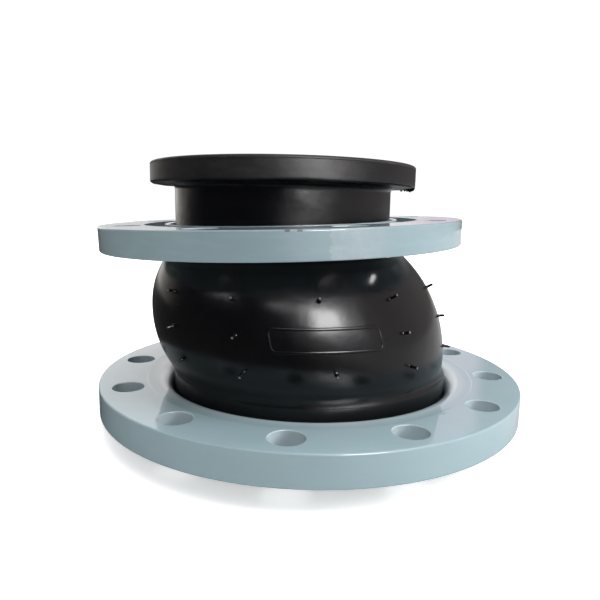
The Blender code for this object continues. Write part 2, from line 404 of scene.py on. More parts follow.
# ---------------------------------------------------------------- material building blocks


class Shade:
    """Adds nodes to one material and wires them. A value is a number, a colour or another node's output."""

    def __init__(self, name):
        self.material = bpy.data.materials.new(name)
        self.material.use_nodes = True
        self.tree = self.material.node_tree
        self.surface = self.tree.nodes["Principled BSDF"]
        self.place = self.node("ShaderNodeAttribute", {"attribute_name": "place"}, {}, "Vector")

    def wire(self, socket, value):
        if isinstance(value, bpy.types.NodeSocket):
            self.tree.links.new(value, socket)
        elif isinstance(value, tuple) and len(value) == 3 and socket.type == "RGBA":
            socket.default_value = (*value, 1.0)
        else:
            socket.default_value = value

    def node(self, kind, settings, inputs, output):
        made = self.tree.nodes.new(kind)
        for key, value in settings.items():
            setattr(made, key, value)
        for key, value in inputs.items():
            self.wire(made.inputs[key], value)
        return made.outputs[output]

    def set(self, **inputs):
        for key, value in inputs.items():
            self.wire(self.surface.inputs[key.replace("_", " ").title().replace("Ior", "IOR")], value)

    def math(self, operation, a, b=0.0, clamp=False):
        return self.node("ShaderNodeMath", {"operation": operation, "use_clamp": clamp}, {0: a, 1: b}, 0)

    def stretch(self, scale, vector=None):
        """The rest position, scaled per axis."""
        vector = vector or self.place
        return self.node("ShaderNodeVectorMath", {"operation": "MULTIPLY"}, {0: vector, 1: scale}, 0)

    def noise(self, scale, detail=3.0, rough=0.5, vector=None):
        inputs = {"Vector": vector or self.place, "Scale": scale, "Detail": detail, "Roughness": rough}
        return self.node("ShaderNodeTexNoise", {}, inputs, "Fac")

    def cells(self, scale, vector=None):
        """Distance from the nearest of many scattered points."""
        inputs = {"Vector": vector or self.place, "Scale": scale}
        return self.node("ShaderNodeTexVoronoi", {"feature": "F1"}, inputs, "Distance")

    def between(self, value, low, high, out_low=0.0, out_high=1.0):
        """Maps low..high to out_low..out_high, held outside them."""
        inputs = {0: value, 1: low, 2: high, 3: out_low, 4: out_high}
        return self.node("ShaderNodeMapRange", {"interpolation_type": "SMOOTHSTEP"}, inputs, 0)

    def mix(self, share, a, b):
        inputs = {0: share, 6: a, 7: b}
        return self.node("ShaderNodeMix", {"data_type": "RGBA"}, inputs, 2)

    def blend_values(self, share, a, b):
        return self.node("ShaderNodeMix", {"data_type": "FLOAT"}, {0: share, 2: a, 3: b}, 0)

    def bump(self, height, distance, normal=None):
        inputs = {"Height": height, "Distance": distance, "Strength": 1.0}
        if normal is not None:
            inputs["Normal"] = normal
        return self.node("ShaderNodeBump", {}, inputs, "Normal")

    def mark(self):
        return self.node("ShaderNodeAttribute", {"attribute_name": "mark"}, {}, "Fac")

    def around(self, centre_x):
        """Direction round a vertical axis and the height, for marks that run round a turned part."""
        split = self.tree.nodes.new("ShaderNodeSeparateXYZ")
        self.wire(split.inputs[0], self.place)
        x = self.math("SUBTRACT", split.outputs[0], centre_x)
        turn = self.math("ARCTAN2", split.outputs[1], x)
        cosine = self.math("COSINE", turn)
        sine = self.math("SINE", turn)
        inputs = {0: cosine, 1: sine, 2: split.outputs[2]}
        vector = self.node("ShaderNodeCombineXYZ", {}, inputs, 0)
        return vector, turn, split.outputs[2]


# ---------------------------------------------------------------- materials


def paint_material(name, middle, depth=1.0, patch_deg=None, nicks_deg=()):
    """Light blue-grey enamel under a clear gloss with a few chipped edges, painted paler in the holes as
    painted light.
    """
    shade = Shade(name)
    ring, turn, height = shade.around(middle.x)
    nick_span = (middle.z, middle.z + 0.001)
    tint = shade.noise(16, 4, 0.6)
    pale = shade.mix(shade.between(tint, 0.3, 0.7), (0.285, 0.390, 0.428), (0.305, 0.410, 0.446))
    # painted shade: a depth below one darkens the whole paint towards black (0.82 on the upper flange)
    pale = shade.mix(1.0 - depth, pale, (0.0, 0.0, 0.0))
    streaks = shade.noise(1, 4, 0.6, shade.stretch((6, 6, 240), ring))
    pale = shade.mix(shade.between(streaks, 0.45, 0.75, 0, 0.15), pale, (0.36, 0.44, 0.46))
    if patch_deg is not None:
        start, end = (math.radians(angle) for angle in patch_deg)
        ragged = shade.math("ADD", turn, shade.between(shade.noise(220, 3, 0.6), 0.3, 0.7, -0.01, 0.01))
        patch = shade.between(ragged, start, start + 0.008)
        patch = shade.math("MULTIPLY", patch, shade.between(turn, end, end + 0.22, 1, 0))
        mottle = shade.between(shade.noise(90, 4, 0.7), 0.35, 0.65, 0.45, 1.0)
        patch = shade.math("MULTIPLY", patch, mottle)
        pale = shade.mix(shade.math("MULTIPLY", patch, 0.24), pale, (0.62, 0.60, 0.62))
    # painted light: the hole walls and the bore's lip-side round are painted paler, the groove and the
    # arch-side round half as much
    inside = shade.between(shade.mark(), -0.9, -0.1, 0.40, 0)
    pale = shade.mix(inside, pale, (0.70, 0.76, 0.79))
    chips = shade.between(shade.noise(260, 3, 0.6), 0.66, 0.69)
    gate = shade.between(shade.noise(26, 2), 0.60, 0.64)
    chips = shade.math("MULTIPLY", chips, gate)
    chips = shade.math("MULTIPLY", chips, shade.between(shade.mark(), 0.6, 0.95))
    on_top_edge = shade.between(shade.mark(), 0.90, 0.99)
    on_top_edge = shade.math("MULTIPLY", on_top_edge, shade.between(height, *nick_span))
    for nick_deg in nicks_deg:
        away = shade.math("ABSOLUTE", shade.math("SUBTRACT", turn, math.radians(nick_deg)))
        nick = shade.math("MULTIPLY", shade.between(away, 0.008, 0.014, 0.8, 0), on_top_edge)
        chips = shade.math("MAXIMUM", chips, nick)
    bare = shade.mix(shade.noise(600, 2), (0.045, 0.040, 0.038), (0.13, 0.10, 0.085))
    peel = shade.bump(shade.noise(300, 2, 0.5), 0.000012)
    peel = shade.bump(shade.noise(40, 2), 0.00006, peel)
    shade.set(base_color=shade.mix(chips, pale, bare), roughness=0.5, normal=peel, specular_ior_level=0.2)
    gloss = shade.blend_values(chips, shade.between(shade.noise(30, 3), 0.3, 0.7, 0.95, 1.0), 0.0)
    shade.set(coat_weight=gloss, coat_roughness=0.045, coat_ior=1.5, coat_normal=peel)
    return shade.material


def cover_material():
    """Glossy black moulded rubber, fine skin texture and scuffs; a dull lip with painted shade; pale cut spew
    tips with painted glint.
    """
    shade = Shade("cover_rubber")
    ring, turn, height = shade.around(0.0)
    cloud = shade.noise(18, 3, 0.5)
    colour = shade.mix(shade.between(cloud, 0.3, 0.7), (0.0018, 0.0020, 0.0030), (0.0030, 0.0030, 0.0036))
    roughness = shade.between(shade.noise(40, 4, 0.6), 0.3, 0.72, 0.20, 0.26)
    lip_back = FACE_TO_FACE - LIP_THICKNESS
    on_lip = shade.between(height, lip_back - 0.002, lip_back + 0.001)
    scuff = shade.noise(1, 5, 0.7, shade.stretch((60, 60, 420)))
    scuff = shade.between(scuff, 0.62, 0.76)
    scuff = shade.math("MULTIPLY", scuff, shade.between(shade.noise(30), 0.52, 0.64))
    lip_marks = shade.noise(1, 4, 0.7, shade.stretch((7, 7, 700), ring))
    lip_marks = shade.math("MULTIPLY", shade.between(lip_marks, 0.52, 0.78), on_lip)
    marks = shade.math("MAXIMUM", shade.math("MULTIPLY", scuff, 0.5), shade.math("MULTIPLY", lip_marks, 0.5))
    colour = shade.mix(shade.math("MULTIPLY", marks, 0.5), colour, (0.030, 0.029, 0.030))
    cloud = shade.between(shade.noise(1, 4, 0.65, shade.stretch((30, 30, 90))), 0.35, 0.68)
    bloom = shade.mix(cloud, (0.0085, 0.0080, 0.0088), (0.0230, 0.0210, 0.0210))
    # painted shade: the lip's grey is darkened towards black past -62 degrees, on its right and back
    lip_painted_shade = shade.between(turn, math.radians(-80), math.radians(-62), 0, 0.80)
    bloom = shade.mix(lip_painted_shade, bloom, (0.0, 0.0, 0.0))
    # a paler mottled patch round the lip between -101 and -68 degrees
    paler_patch = shade.between(turn, math.radians(-101), math.radians(-93))
    paler_patch = shade.math("MULTIPLY", paler_patch, shade.between(turn, math.radians(-79), math.radians(-68), 1, 0))
    paler_patch = shade.math("MULTIPLY", paler_patch, shade.between(cloud, 0, 1, 0.25, 0.8))
    bloom = shade.mix(paler_patch, bloom, (0.032, 0.029, 0.029))
    colour = shade.mix(shade.math("MULTIPLY", on_lip, 0.85), colour, bloom)
    # spew tips: each cut end painted pale, partly the matte cut rubber and partly a painted glint
    colour = shade.mix(shade.mark(), colour, (0.16, 0.15, 0.13))
    roughness = shade.math("ADD", roughness, shade.math("MULTIPLY", marks, 0.14))
    roughness = shade.blend_values(shade.math("MAXIMUM", on_lip, shade.mark()), roughness, 0.42)
    normal = shade.bump(shade.noise(900, 3, 0.6), 0.00002)
    normal = shade.bump(shade.noise(50, 3, 0.5), 0.00035, normal)
    normal = shade.bump(marks, 0.00004, normal)
    under = shade.between(height, lip_back - 0.005, lip_back - 0.001)
    under = shade.math("SUBTRACT", under, shade.between(height, lip_back + 0.0004, lip_back + 0.0012))
    gloss = shade.blend_values(under, 0.34, 0.04)
    shade.set(base_color=colour, roughness=roughness, normal=normal, specular_ior_level=gloss)
    return shade.material


def liner_material():
    """Satin black rubber of the bore and sealing faces, with faint rings from its mould core."""
    shade = Shade("liner_rubber")
    ring, turn, height = shade.around(0.0)
    bloom = shade.noise(26, 5, 0.65)
    colour = shade.mix(shade.between(bloom, 0.35, 0.7), (0.012, 0.012, 0.013), (0.024, 0.023, 0.023))
    rings = shade.noise(1, 3, 0.6, shade.stretch((2.2, 2.2, 900), ring))
    colour = shade.mix(shade.between(rings, 0.5, 0.75, 0, 0.5), colour, (0.034, 0.033, 0.033))
    specks = shade.between(shade.cells(240), 0.05, 0.12, 1, 0)
    colour = shade.mix(shade.math("MULTIPLY", specks, 0.5), colour, (0.07, 0.07, 0.068))
    roughness = shade.between(shade.noise(60, 4), 0.3, 0.7, 0.42, 0.58)
    normal = shade.bump(rings, 0.00012)
    normal = shade.bump(shade.noise(700, 3, 0.6), 0.00006, normal)
    shade.set(base_color=colour, roughness=roughness, normal=normal, specular_ior_level=0.4)
    return shade.material


def plain_rubber_material(name, dark, light):
    """Matte uncut rubber stock with a calendered grain."""
    shade = Shade(name)
    colour = shade.mix(shade.between(shade.noise(90, 5, 0.7), 0.3, 0.7), dark, light)
    normal = shade.bump(shade.noise(500, 4, 0.6), 0.0001)
    roughness = shade.between(shade.noise(40), 0.3, 0.7, 0.55, 0.72)
    shade.set(base_color=colour, roughness=roughness, normal=normal)
    return shade.material


def cord_material(name, lean_of_cords):
    """Rubberised nylon tyre cord: close parallel cords that climb the wall at an angle."""
    shade = Shade(name)
    ring, turn, height = shade.around(0.0)
    climb = shade.math("MULTIPLY", height, lean_of_cords)
    phase = shade.math("MULTIPLY", shade.math("ADD", turn, climb), 340.0)
    cords = shade.math("ADD", shade.math("MULTIPLY", shade.math("SINE", phase), 0.5), 0.5)
    tan = shade.mix(shade.noise(70, 4), (0.22, 0.14, 0.075), (0.36, 0.26, 0.15))
    colour = shade.mix(shade.between(cords, 0.1, 0.6), (0.030, 0.025, 0.020), tan)
    normal = shade.bump(cords, 0.0003)
    shade.set(base_color=colour, roughness=0.7, normal=normal)
    return shade.material


def wrap_material():
    """Square-woven bead wrap fabric with rubber in its weave."""
    shade = Shade("bead_wrap_fabric")
    ring, turn, height = shade.around(0.0)
    warp = shade.math("SINE", shade.math("MULTIPLY", turn, 900.0))
    weft = shade.math("SINE", shade.math("MULTIPLY", height, 9000.0))
    weave = shade.between(shade.math("MULTIPLY", warp, weft), -0.6, 0.6)
    colour = shade.mix(weave, (0.05, 0.045, 0.040), (0.24, 0.21, 0.17))
    shade.set(base_color=colour, roughness=0.8, normal=shade.bump(weave, 0.0002))
    return shade.material


def wire_material():
    """Bronze-coated high tensile bead wire."""
    shade = Shade("bead_steel")
    drawn = shade.noise(1, 3, 0.6, shade.stretch((60, 60, 3000)))
    colour = shade.mix(shade.between(drawn, 0.3, 0.7), (0.42, 0.30, 0.17), (0.62, 0.50, 0.34))
    roughness = shade.between(shade.noise(200), 0.3, 0.7, 0.25, 0.42)
    shade.set(base_color=colour, roughness=roughness, normal=shade.bump(drawn, 0.00005), metallic=1.0)
    return shade.material


COVER_RUBBER = cover_material()
LINER_RUBBER = liner_material()
MIDDLE_RUBBER = plain_rubber_material("middle_rubber", (0.020, 0.019, 0.018), (0.034, 0.032, 0.030))
FILLER_RUBBER = plain_rubber_material("filler_rubber", (0.026, 0.024, 0.023), (0.042, 0.040, 0.038))
CORD_ONE_WAY = cord_material("nylon_cord_left", 9.0)
CORD_OTHER_WAY = cord_material("nylon_cord_right", -9.0)
WRAP_FABRIC = wrap_material()
BEAD_WIRE = wire_material()

# ---------------------------------------------------------------- details on the cover


def on_wall(azimuth_deg, height):
    """A point of the arch's outer surface, and the surface's outward normal there."""
    arch_r, arch_z = ARCH_CENTRE
    rise = math.asin((height - arch_z) / ARCH_RADIUS)
    radius = arch_r + ARCH_RADIUS * math.cos(rise)
    azimuth = math.radians(azimuth_deg)
    outward = Vector((math.cos(azimuth), math.sin(azimuth), 0))
    point = outward * radius + Vector((float(lean(height)), 0, height))
    drift = float(lean(height + 0.0005) - lean(height - 0.0005)) / 0.001
    normal = outward * math.cos(rise)
    normal.z = math.sin(rise) - drift * normal.x
    return point, normal.normalized()


def tube(centres, radii, sides, across=None):
    """A closed tube along the centres; across gives each ring's two cross directions."""
    vertices, faces = [], []
    for index, (centre, radius) in enumerate(zip(centres, radii)):
        if across is None:
            before, after = centres[max(index - 1, 0)], centres[min(index + 1, len(centres) - 1)]
            along = (after - before).normalized()
            side = along.cross(Vector((0.3, 0.2, 1))).normalized()
            up = along.cross(side)
        else:
            side, up = across[index]
        for k in range(sides):
            angle = 2 * math.pi * k / sides
            vertices.append(centre + (side * math.cos(angle) + up * math.sin(angle)) * radius)
    for ring in range(len(centres) - 1):
        for k in range(sides):
            a, b = ring * sides + k, ring * sides + (k + 1) % sides
            faces.append((a, b, b + sides, a + sides))
    faces.append(tuple(reversed(range(sides))))
    last = (len(centres) - 1) * sides
    faces.append(tuple(range(last, last + sides)))
    return [tuple(vertex) for vertex in vertices], faces


def vent_spew(azimuth_deg, height, chance):
    """A rubber whisker left by a mould vent: a flared foot, a thin bent stem and a cut end."""
    foot, normal = on_wall(azimuth_deg, height)
    length = chance.uniform(0.0036, 0.0058)
    sag = Vector((chance.uniform(-1, 1), chance.uniform(-1, 1), chance.uniform(-1.4, 0.4))) * 0.0007
    sizes = ((-0.2, 1.9), (0.0, 1.8), (0.06, 1.3), (0.18, 1.05))
    sizes += ((0.45, 1.0), (0.75, 0.95), (0.96, 0.9), (1.0, 0.72))
    centres = [foot + normal * length * share + sag * max(share, 0) ** 2 for share, _ in sizes]
    return tube(centres, [VENT_RADIUS * size for _, size in sizes], TIP_VERTICES)


def vent_spews(heights, chance):
    spews = []
    for row, half, number in itertools.product(heights, (0, 180), range(VENTS_PER_HALF)):
        azimuth = FIRST_VENT_DEG - half - number * VENT_PITCH_DEG
        at_plate = abs(row - PLATE_MIDDLE) < PLATE_HEIGHT and PLATE_DEG[0] < azimuth < PLATE_DEG[1]
        trimmed = abs(azimuth + 180) < TRIMMED_DEG
        turn, rise = chance.uniform(-1, 1), chance.uniform(-0.0006, 0.0006)
        if not at_plate and not trimmed:
            spews.append(vent_spew(azimuth + turn, row + rise, chance))
    return spews


def plate_outline(step):
    """The rounded rectangle of the blank plate, as (distance round the arch, height) about its middle."""
    half_length = math.radians(PLATE_DEG[1] - PLATE_DEG[0]) * (ARCH_CENTRE[0] + ARCH_RADIUS) / 2
    half_height = PLATE_HEIGHT / 2
    corner = PLATE_CORNER
    path = []
    for side_x, side_y, from_deg in ((1, -1, -90), (1, 1, 0), (-1, 1, 90), (-1, -1, 180)):
        centre = (side_x * (half_length - corner), side_y * (half_height - corner))
        path += arc(centre, corner, from_deg, from_deg + 90, step)
    return filled(path + path[:1], step)[:-1]


def plate_rim():
    """The plate's raised rim: a half-sunk flattened bead that follows the arch's surface."""
    middle_deg = (PLATE_DEG[0] + PLATE_DEG[1]) / 2
    per_metre = math.degrees(1 / (ARCH_CENTRE[0] + ARCH_RADIUS))
    path = [on_wall(middle_deg + s * per_metre, PLATE_MIDDLE + h) for s, h in plate_outline(0.0011)]
    sides, count = 10, len(path)
    half_width, rise = PLATE_RIM
    vertices, faces = [], []
    for index, (point, normal) in enumerate(path):
        along = (path[(index + 1) % count][0] - path[index - 1][0]).normalized()
        side = along.cross(normal).normalized()
        for k in range(sides):
            angle = 2 * math.pi * k / sides
            offset = side * half_width * math.cos(angle) + normal * rise * math.sin(angle)
            vertices.append(tuple(point + offset))
    for index in range(count):
        here, after = index * sides, (index + 1) % count * sides
        for k in range(sides):
            m = (k + 1) % sides
            faces.append((here + k, after + k, after + m, here + m))
    return vertices, faces


def flash_nib(azimuth_deg, size, chance):
    """A torn scrap of moulding flash under the small lip's back corner."""
    azimuth = math.radians(azimuth_deg)
    outward = Vector((math.cos(azimuth), math.sin(azimuth), 0))
    root = outward * (SMALL.lip - 0.0014) + Vector((-ECCENTRICITY, 0, FACE_TO_FACE - LIP_THICKNESS + 0.0007))
    down = Vector((chance.uniform(-0.3, 0.3), chance.uniform(-0.3, 0.3), -1))
    centres = [root + down * size * share for share in (0, 0.35, 0.7, 1.0)]
    radii = [size * share for share in (0.75, 0.6, 0.42, 0.15)]
    return tube(centres, radii, TIP_VERTICES)


# ---------------------------------------------------------------- the rubber wall

chance = random.Random(20)
low_vents = vent_spews(VENT_HEIGHTS[:1], chance)
high_vents = vent_spews(VENT_HEIGHTS[1:], chance)
nibs = [flash_nib(14 - 4 * i, chance.uniform(0.0018, 0.0032), chance) for i in range(6)]

cover_outside = filled(cover_rim(BIG, FINE) + cover_curve(FINE) + upside_down(cover_rim(SMALL, FINE)), FINE)
cover_inside = whole_curve(cover_lining(BIG, COARSE), COVER, cover_lining(SMALL, COARSE), COARSE)
cover_extras = {"lower": ([], low_vents), "middle": ([plate_rim()], high_vents), "upper": (nibs, [])}
add_layer("cover", "outer_cover", cover_outside, cover_inside, FINE_TURN, COVER_RUBBER, cover_extras)

liner_inside = liner_rim(BIG, FINE) + wall_curve(WALL, FINE) + upside_down(liner_rim(SMALL, FINE))
liner_inside = filled(liner_inside, FINE)
liner_outside = front_curve(LINER, 0.0002, COARSE)
add_layer("liner", "inner_liner", liner_outside, liner_inside, FINE_TURN, LINER_RUBBER)

front_stack = LINER + GAP
for number, material in ((1, CORD_ONE_WAY), (2, CORD_OTHER_WAY)):
    near = front_curve(front_stack, TIP_INSET, COARSE)
    far = front_curve(front_stack + CORD_PLY, TIP_INSET, COARSE)
    add_layer(f"ply_{number}", f"cord_ply_{number}", far, near, COARSE_TURN, material)
    front_stack += CORD_PLY + GAP

back_stack = COVER + GAP
for number, material in ((4, CORD_OTHER_WAY), (3, CORD_ONE_WAY)):
    near = back_curve(back_stack, TIP_INSET, COARSE)
    far = back_curve(back_stack + CORD_PLY, TIP_INSET, COARSE)
    add_layer(f"ply_{number}", f"cord_ply_{number}", near, far, COARSE_TURN, material)
    back_stack += CORD_PLY + GAP

core_top = LIP_THICKNESS - back_stack


def core_bend(end):
    """The core's outer side where it turns from the lip up into the neck: its toe, knee and heel."""
    centre = (end.neck + LIP_FILLET, LIP_THICKNESS + LIP_FILLET)
    bend = arc(centre, LIP_FILLET + back_stack, 270, 180, 0.0009)
    half = len(bend) // 2
    return bend[: half + 1], bend[half:]


def middle_foot(end):
    """The foot of the middle rubber in one neck: its outer side upwards, and its point on the bore side."""
    outer = core_bend(end)[1]
    return outer, [(end.bore + front_stack, outer[0][1])]


big_outer, big_inner = middle_foot(BIG)
small_outer, small_inner = middle_foot(SMALL)
middle_outside = whole_curve(big_outer, back_stack, small_outer, COARSE)
middle_inside = whole_curve(big_inner, WALL - front_stack, small_inner, COARSE)
add_layer("middle", "middle_rubber", middle_outside, middle_inside, COARSE_TURN, MIDDLE_RUBBER)

# ---------------------------------------------------------------- what the lips hold


def hexagon(centre, half_height):
    """Corners of a hexagon with a flat top, starting at its outermost corner."""
    corner = half_height / math.cos(math.radians(30))
    angles = [math.radians(60 * k) for k in range(6)]
    return [(centre[0] + corner * math.cos(a), centre[1] + corner * math.sin(a)) for a in angles]


def open_hexagon(centre, half_height):
    """A hexagon opened at its innermost corner, where the folded strip has its seam."""
    corners = hexagon(centre, half_height)
    seam = corners[3]

    def towards(other):
        return tuple(a + (b - a) * WRAP_OPENING for a, b in zip(seam, other))

    return [towards(corners[4])] + corners[4:] + corners[:3] + [towards(corners[2])]


def wire_bundle(centre, half_height):
    """Nineteen wires wound side by side in a hexagon."""
    wire = 2 * half_height / (1 + 4 * math.cos(math.radians(30)))
    rings = []
    for row in range(-2, 3):
        for column in range(5 - abs(row)):
            r = centre[0] + (column - (4 - abs(row)) / 2) * wire
            z = centre[1] + row * wire * math.cos(math.radians(30))
            section = [
                (r + wire / 2 * math.cos(math.radians(45 * k)), z + wire / 2 * math.sin(math.radians(45 * k)))
                for k in range(8)
            ]
            rings.append(turned(section, COARSE_TURN))
    return joined(rings)


def add_lip_core(end, label, body, top):
    """The bead ring, its fabric wrap and the filler rubber inside one lip."""
    half_height = (core_top - front_stack) / 2
    reach = half_height / math.cos(math.radians(30))
    tip = end.lip - TIP_INSET
    centre = (tip - reach, front_stack + half_height)
    wrap = open_hexagon(centre, half_height) + open_hexagon(centre, half_height - BEAD_WRAP)[::-1]
    rim = tip - 2 * reach - GAP
    mouth = (end.bore + MOUTH_ROUND, MOUTH_ROUND)
    bend = core_bend(end)[0]
    apex = (bend[-1][0] + GAP * 0.6, bend[-1][1] - GAP)
    filler = [(rim, front_stack), (rim, core_top)] + bend[:-1] + [apex, (end.bore + front_stack, apex[1])]
    filler += arc(mouth, MOUTH_ROUND - front_stack, 180, 270, 0.0012)
    for node, shape, material in (
        ("bead_ring", wire_bundle(centre, half_height - BEAD_WRAP - GAP), BEAD_WIRE),
        ("bead_wrap", turned(wrap, COARSE_TURN), WRAP_FABRIC),
        ("lip_filler", turned(filler, COARSE_TURN), FILLER_RUBBER),
    ):
        vertices, faces = shape
        if top:
            vertices = vertices * (1, 1, -1) + (0, 0, FACE_TO_FACE)
            faces = [face[::-1] for face in faces]
        piece = add_piece(f"{label}_{node}_fine", leaned(vertices), faces, material)
        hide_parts(f"{label}_{node}")
        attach(piece, body)


add_lip_core(BIG, "lower", "lower_end", False)
add_lip_core(SMALL, "upper", "upper_end", True)

# ---------------------------------------------------------------- flanges

Flange = collections.namedtuple(
    "Flange", "radius bore thickness hole_circle holes first_deg land lip_round groove"
)
EDGE_ROUND = 0.0012
HOLE_ROUND = 0.0006
ARCH_SIDE_ROUND = 0.0125
HOLE_RADIUS = 0.0113
GROOVE_DEPTH = 0.0045
GROOVE_EDGE = 0.0004
LAND_STEP = 0.0005  # depth of the turned land round the bore on the arch side
EDGE_STEPS = 4


class Patchwork:
    """Collects faces by position, so that patches that share an edge share its vertices."""

    def __init__(self):
        self.index, self.vertices, self.edge, self.faces = {}, [], [], []

    def vertex(self, point, edge):
        key = tuple(round(value * 1e6) for value in point)
        if key not in self.index:
            self.index[key] = len(self.vertices)
            self.vertices.append(point)
            self.edge.append(edge)
        return self.index[key]

    def strip(self, first, second, edges=(0.0, 0.0), closed=True):
        """Quads between two rows of points. Seen from outside, second is to the left of first's direction."""
        a = [self.vertex(point, edges[0]) for point in first]
        b = [self.vertex(point, edges[1]) for point in second]
        for i in range(len(a) if closed else len(a) - 1):
            j = (i + 1) % len(a)
            corners = [a[i], a[j], b[j], b[i]]
            corners = [c for k, c in enumerate(corners) if c != corners[k - 1]]
            if len(corners) > 2:
                self.faces.append(tuple(corners))


def circle(radius, height, angles, centre=(0.0, 0.0)):
    return [(centre[0] + radius * math.cos(a), centre[1] + radius * math.sin(a), height) for a in angles]


def groove_section(near, far):
    """The lip side's ring groove from its outer edge to its inner one, depths above that face."""
    edge = GROOVE_EDGE
    half = [(far + edge, 0.0), (far + edge * 0.3, edge * 0.3), (far, edge), (far, GROOVE_DEPTH - edge)]
    half += [(far - edge, GROOVE_DEPTH)]
    return half + [(near + far - r, z) for r, z in reversed(half)]


def flange_shape(flange):
    """A plate flange about its own centre, its arch side up, every edge rounded and every hole eased."""
    patches = Patchwork()
    half = flange.thickness / 2
    sector = 2 * math.pi / flange.holes
    first = math.radians(flange.first_deg) - sector / 2
    arc_steps = 144 // flange.holes
    side_steps = 8
    rim_angles = [first + sector * i / arc_steps for i in range(arc_steps * flange.holes)]
    inner, outer = flange.land, flange.radius - EDGE_ROUND
    for face in (1, -1):
        height = half * face
        for number in range(flange.holes):
            start = first + sector * number
            middle = start + sector / 2
            hub = (flange.hole_circle * math.cos(middle), flange.hole_circle * math.sin(middle))
            border = [(outer, start + sector * i / arc_steps) for i in range(arc_steps)]
            border += [(outer + (inner - outer) * i / side_steps, start + sector) for i in range(side_steps)]
            border += [(inner, start + sector - sector * i / arc_steps) for i in range(arc_steps)]
            border += [(inner + (outer - inner) * i / side_steps, start) for i in range(side_steps)]
            border = [(r * math.cos(a), r * math.sin(a), height) for r, a in border]
            spokes = [math.atan2(y - hub[1], x - hub[0]) for x, y, _ in border]
            mouth = circle(HOLE_RADIUS + HOLE_ROUND, height, spokes, hub)
            rows = [mouth]
            for share in (0.12, 0.35, 0.65):
                rows.append([tuple(m + (b - m) * share for m, b in zip(p, q)) for p, q in zip(mouth, border)])
            rows.append(border)
            for near, far in zip(rows, rows[1:]):
                patches.strip(*((far, near) if face > 0 else (near, far)))
            ease = []
            for step in range(EDGE_STEPS + 1):
                angle = math.pi / 2 * step / EDGE_STEPS
                reach = HOLE_RADIUS + HOLE_ROUND * (1 - math.sin(angle))
                ease.append(circle(reach, (half - HOLE_ROUND * (1 - math.cos(angle))) * face, spokes, hub))
            for step in range(EDGE_STEPS):
                pair = (ease[step], ease[step + 1])
                patches.strip(*(pair if face > 0 else pair[::-1]), edges=(-1.0, -1.0))
            if face > 0:
                lower = circle(HOLE_RADIUS, HOLE_ROUND - half, spokes, hub)
                patches.strip(ease[-1], lower, edges=(-1.0, -1.0))
    section = [(inner, -half, 0.0)]
    if flange.groove is not None:
        section += [(r, z - half, -0.5) for r, z in groove_section(*flange.groove)]
    for step in range(EDGE_STEPS + 1):
        angle = math.pi / 2 * step / EDGE_STEPS
        r = flange.bore + flange.lip_round * (1 - math.sin(angle))
        section.append((r, flange.lip_round * (1 - math.cos(angle)) - half, -1.0))
    centre = (flange.bore + ARCH_SIDE_ROUND, half - LAND_STEP - ARCH_SIDE_ROUND)
    section += [(r, z, -0.5) for r, z in arc(centre, ARCH_SIDE_ROUND, 180, 90, 0.0012)]
    section.append((inner - 3 * LAND_STEP, half - LAND_STEP, 0.0))
    section.append((inner - LAND_STEP, half - LAND_STEP * 0.15, 0.0))
    section += [(inner, half, 0.0)]
    for (r0, z0, e0), (r1, z1, e1) in zip(section, section[1:]):
        patches.strip(circle(r1, z1, rim_angles), circle(r0, z0, rim_angles), edges=(e1, e0))
    rim = [(outer, half, 0.6)]
    for side in (1, -1):
        for step in range(EDGE_STEPS + 1):
            angle = math.pi / 2 * (step if side > 0 else EDGE_STEPS - step) / EDGE_STEPS
            r = outer + EDGE_ROUND * math.sin(angle)
            rim.append((r, side * (half - EDGE_ROUND * (1 - math.cos(angle))), 1.0))
        if side > 0:
            rim += [(flange.radius, half * share, 0.0) for share in (0.5, 0.0, -0.5)]
    for (r0, z0, e0), (r1, z1, e1) in zip(rim, rim[1:]):
        patches.strip(circle(r1, z1, rim_angles), circle(r0, z0, rim_angles), edges=(e1, e0))
    return patches


def add_flange(name, flange, matrix, material, body):
    shape = flange_shape(flange)
    vertices = [tuple(matrix @ Vector(point)) for point in shape.vertices]
    piece = add_piece(f"{name}_plate", vertices, shape.faces, material, shape.edge, sharp_deg=40)
    flat = piece.modifiers.new("flat_faces_stay_flat", "WEIGHTED_NORMAL")
    flat.keep_sharp = True
    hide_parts(name)
    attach(piece, body)


def middle_of(node):
    low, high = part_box(node)
    return (low + high) / 2


lower_low, lower_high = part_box("lower_flange")
big_flange = Flange(lower_high.x, 0.1097, lower_high.z - lower_low.z, 0.145, 12, -5.8, 0.1306, 0.004, None)
small_flange = Flange(0.140, 0.0893, 0.0185, 0.120, 8, 22.5, 0.1076, 0.0012, (0.0917, 0.107))

upright = Matrix.Translation(middle_of("lower_flange"))
lower_paint = paint_material("paint_lower", middle_of("lower_flange"))
add_flange("lower_flange", big_flange, upright, lower_paint, "lower_flange")

lip_side = -Vector(mounts["upper_flange_nut_face"]["axis"])
upper_middle = middle_of("upper_flange")
hang = Vector((0, 0, 1)).rotation_difference(lip_side).to_matrix().to_4x4()
tipped = Matrix.Translation(upper_middle) @ hang @ Matrix.Rotation(math.pi, 4, "X")
# the upper flange's paint is darkened to 0.82 as painted shade
upper_paint = paint_material("paint_upper", upper_middle, 0.82, (-76.2, -70.0), (-86.6, -83.6))
add_flange("upper_flange", small_flange, tipped, upper_paint, "upper_flange")

# ---------------------------------------------------------------- floor, light and camera


